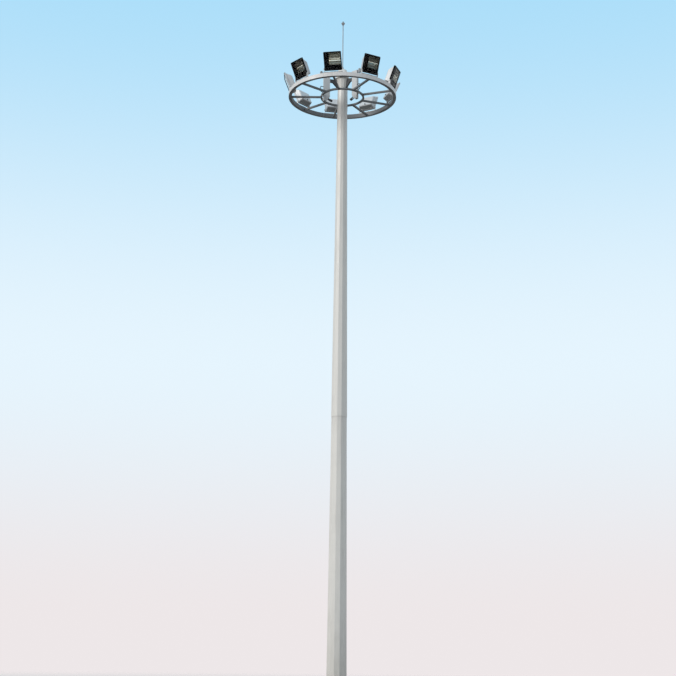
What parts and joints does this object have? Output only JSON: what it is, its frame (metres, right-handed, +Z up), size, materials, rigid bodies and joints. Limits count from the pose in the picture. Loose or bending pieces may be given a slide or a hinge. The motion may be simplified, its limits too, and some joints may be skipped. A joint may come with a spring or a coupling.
{
  "type": "high mast floodlight tower",
  "caption": "Twelve-sided tapered mast with a ring carriage of tilting floodlights that is lowered on hoist ropes, and a lightning rod.",
  "frame": {"origin": "centre of the base plate's underside", "axes": "+Z up along the mast, -Y towards the picture's camera"},
  "size_m": [2.736, 2.8461, 16.135],
  "materials": {
    "mast_paint": "light grey coating over galvanised steel",
    "ring_paint": "grey coating over galvanised steel",
    "dark_steel": "dark coating",
    "zinc_steel": "galvanised",
    "wire_rope": "stranded stainless rope",
    "roller_rubber": "black rubber",
    "lamp_paint": "light powder coat",
    "lamp_black": "black powder coat",
    "lamp_glass": "clear toughened glass",
    "reflector_metal": "bright anodised sheet"
  },
  "bodies": {
    "mast": {"base_plate": "mast_paint", "base_gussets": "mast_paint", "lower_section": "mast_paint", "door_frame": "mast_paint", "access_door": "mast_paint", "upper_section": "mast_paint", "head_flare": "mast_paint", "head_plate": "mast_paint", "head_arms": "dark_steel", "head_sheaves": "dark_steel", "sheave_pins": "zinc_steel", "head_ropes": "wire_rope", "hoist_ropes": "wire_rope", "hood": "mast_paint", "lightning_rod": "zinc_steel", "rod_finial": "zinc_steel"},
    "carriage": {"outer_ring": "ring_paint", "inner_ring": "ring_paint", "spokes": "ring_paint", "latch_guides": "mast_paint", "steady_arms": "dark_steel", "steady_rollers": "roller_rubber", "lamp_feet": "dark_steel", "lamp_yokes": "zinc_steel"},
    "floodlight_1": {"lamp_1_housing": "lamp_paint", "lamp_1_frame": "lamp_black", "lamp_1_glass": "lamp_glass", "lamp_1_reflector": "reflector_metal"},
    "floodlight_2": {"lamp_2_housing": "lamp_paint", "lamp_2_frame": "lamp_black", "lamp_2_glass": "lamp_glass", "lamp_2_reflector": "reflector_metal"},
    "floodlight_3": {"lamp_3_housing": "lamp_paint", "lamp_3_frame": "lamp_black", "lamp_3_glass": "lamp_glass", "lamp_3_reflector": "reflector_metal"},
    "floodlight_4": {"lamp_4_housing": "lamp_paint", "lamp_4_frame": "lamp_black", "lamp_4_glass": "lamp_glass", "lamp_4_reflector": "reflector_metal"},
    "floodlight_5": {"lamp_5_housing": "lamp_paint", "lamp_5_frame": "lamp_black", "lamp_5_glass": "lamp_glass", "lamp_5_reflector": "reflector_metal"},
    "floodlight_6": {"lamp_6_housing": "lamp_paint", "lamp_6_frame": "lamp_black", "lamp_6_glass": "lamp_glass", "lamp_6_reflector": "reflector_metal"},
    "floodlight_7": {"lamp_7_housing": "lamp_paint", "lamp_7_frame": "lamp_black", "lamp_7_glass": "lamp_glass", "lamp_7_reflector": "reflector_metal"},
    "floodlight_8": {"lamp_8_housing": "lamp_paint", "lamp_8_frame": "lamp_black", "lamp_8_glass": "lamp_glass", "lamp_8_reflector": "reflector_metal"},
    "floodlight_9": {"lamp_9_housing": "lamp_paint", "lamp_9_frame": "lamp_black", "lamp_9_glass": "lamp_glass", "lamp_9_reflector": "reflector_metal"}
  },
  "joints": [
    {"name": "carriage_lift", "type": "slide", "parent": "mast", "child": "carriage", "axis": [0, 0, -1], "range_m": [0, 12.2], "deforming": ["hoist_ropes"]},
    {"name": "floodlight_1_tilt", "type": "hinge", "parent": "carriage", "child": "floodlight_1", "pos_m": [-0.93074, -0.78099, 14.373], "axis": [0.6428, -0.766, 0], "range_deg": [-25, 40]},
    {"name": "floodlight_2_tilt", "type": "hinge", "parent": "carriage", "child": "floodlight_2", "pos_m": [-0.21098, -1.19654, 14.373], "axis": [0.9848, -0.1736, 0], "range_deg": [-32, 33]},
    {"name": "floodlight_3_tilt", "type": "hinge", "parent": "carriage", "child": "floodlight_3", "pos_m": [0.6075, -1.05222, 14.373], "axis": [0.866, 0.5, 0], "range_deg": [-20, 45]},
    {"name": "floodlight_4_tilt", "type": "hinge", "parent": "carriage", "child": "floodlight_4", "pos_m": [1.14173, -0.41555, 14.373], "axis": [0.342, 0.9397, 0], "range_deg": [-20, 45]},
    {"name": "floodlight_5_tilt", "type": "hinge", "parent": "carriage", "child": "floodlight_5", "pos_m": [1.14173, 0.41555, 14.373], "axis": [-0.342, 0.9397, 0], "range_deg": [-24, 41]},
    {"name": "floodlight_6_tilt", "type": "hinge", "parent": "carriage", "child": "floodlight_6", "pos_m": [0.6075, 1.05222, 14.373], "axis": [-0.866, 0.5, 0], "range_deg": [-26, 39]},
    {"name": "floodlight_7_tilt", "type": "hinge", "parent": "carriage", "child": "floodlight_7", "pos_m": [-0.21098, 1.19654, 14.373], "axis": [-0.9848, -0.1736, 0], "range_deg": [-25, 40]},
    {"name": "floodlight_8_tilt", "type": "hinge", "parent": "carriage", "child": "floodlight_8", "pos_m": [-0.93074, 0.78099, 14.373], "axis": [-0.6428, -0.766, 0], "range_deg": [-24, 41]},
    {"name": "floodlight_9_tilt", "type": "hinge", "parent": "carriage", "child": "floodlight_9", "pos_m": [-1.215, 0, 14.373], "axis": [0, -1, 0], "range_deg": [-21, 44]}
  ]
}
